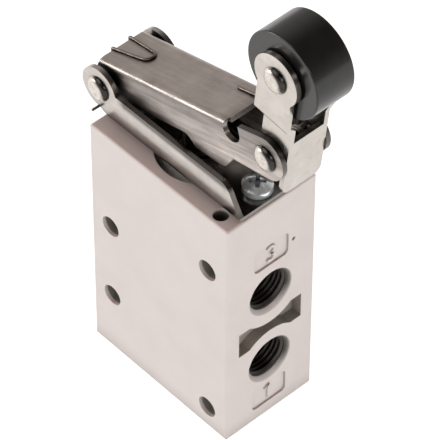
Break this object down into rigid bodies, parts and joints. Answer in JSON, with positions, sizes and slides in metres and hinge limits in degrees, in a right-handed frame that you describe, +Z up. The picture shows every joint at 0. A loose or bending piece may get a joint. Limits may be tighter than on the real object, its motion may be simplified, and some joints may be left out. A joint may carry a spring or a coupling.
{
  "type": "roller lever air valve",
  "caption": "Small roller lever air valve: ported block with a spring-return spool, channel bracket, hinged lever and a folding yoke that carries the roller.",
  "frame": {"origin": "middle of the block's base", "axes": "+X towards the face with the port pair, +Z up towards the lever, Y through the block's thickness"},
  "size_m": [0.0549, 0.021, 0.1015],
  "materials": {
    "body_paint": "matte warm light grey coat over a cast block",
    "sheet_steel": "satin nickel-plated sheet steel",
    "pin_steel": "bright plated rivets",
    "zinc_steel": "bright zinc-plated screws",
    "spring_steel": "drawn spring wire",
    "turned_steel": "ground and polished",
    "brass": "turned brass",
    "alloy": "turned aluminium",
    "rubber": "moulded seal rubber",
    "roller_plastic": "turned black plastic"
  },
  "bodies": {
    "valve": {"valve_body": "body_paint", "guide_bush": "brass", "guide_snap_ring": "spring_steel", "guide_seal": "rubber", "stem_seal": "rubber", "spool_seals": "rubber", "spool_cages": "alloy", "return_spring": "spring_steel", "end_plug": "alloy", "plug_seal": "rubber", "lever_bracket": "sheet_steel", "bracket_screws": "zinc_steel", "lever_pivot_pin": "pin_steel", "lever_spring": "spring_steel"},
    "plunger": {"plunger": "turned_steel", "spool": "turned_steel"},
    "lever": {"lever": "sheet_steel", "yoke_pin": "pin_steel", "yoke_spring": "spring_steel"},
    "yoke": {"roller_yoke": "sheet_steel", "roller_pin": "pin_steel"},
    "roller": {"roller": "roller_plastic"}
  },
  "joints": [
    {"name": "lever_pivot", "type": "hinge", "parent": "valve", "child": "lever", "pos_m": [-0.0185, 0, 0.0611], "axis": [0, 1, 0], "range_deg": [0, 9], "stiffness_Nm_per_rad": 2, "springref_deg": -17.19, "deforming": ["lever_spring"]},
    {"name": "plunger_slide", "type": "slide", "parent": "valve", "child": "plunger", "axis": [0, 0, -1], "range_m": [0, 0.00303], "deforming": ["return_spring"]},
    {"name": "yoke_fold", "type": "hinge", "parent": "lever", "child": "yoke", "pos_m": [0.02148, 0, 0.07299], "axis": [0, -1, 0], "range_deg": [0, 60], "stiffness_Nm_per_rad": 0.05, "springref_deg": -22.92, "deforming": ["yoke_spring"]},
    {"name": "roller_spin", "type": "hinge", "parent": "yoke", "child": "roller", "pos_m": [0.02378, 0, 0.09316], "axis": [0, 1, 0], "continuous": true}
  ],
  "couplings": [
    {"joint": "plunger_slide", "follows": "lever_pivot", "m_per_rad": 0.01923}
  ]
}
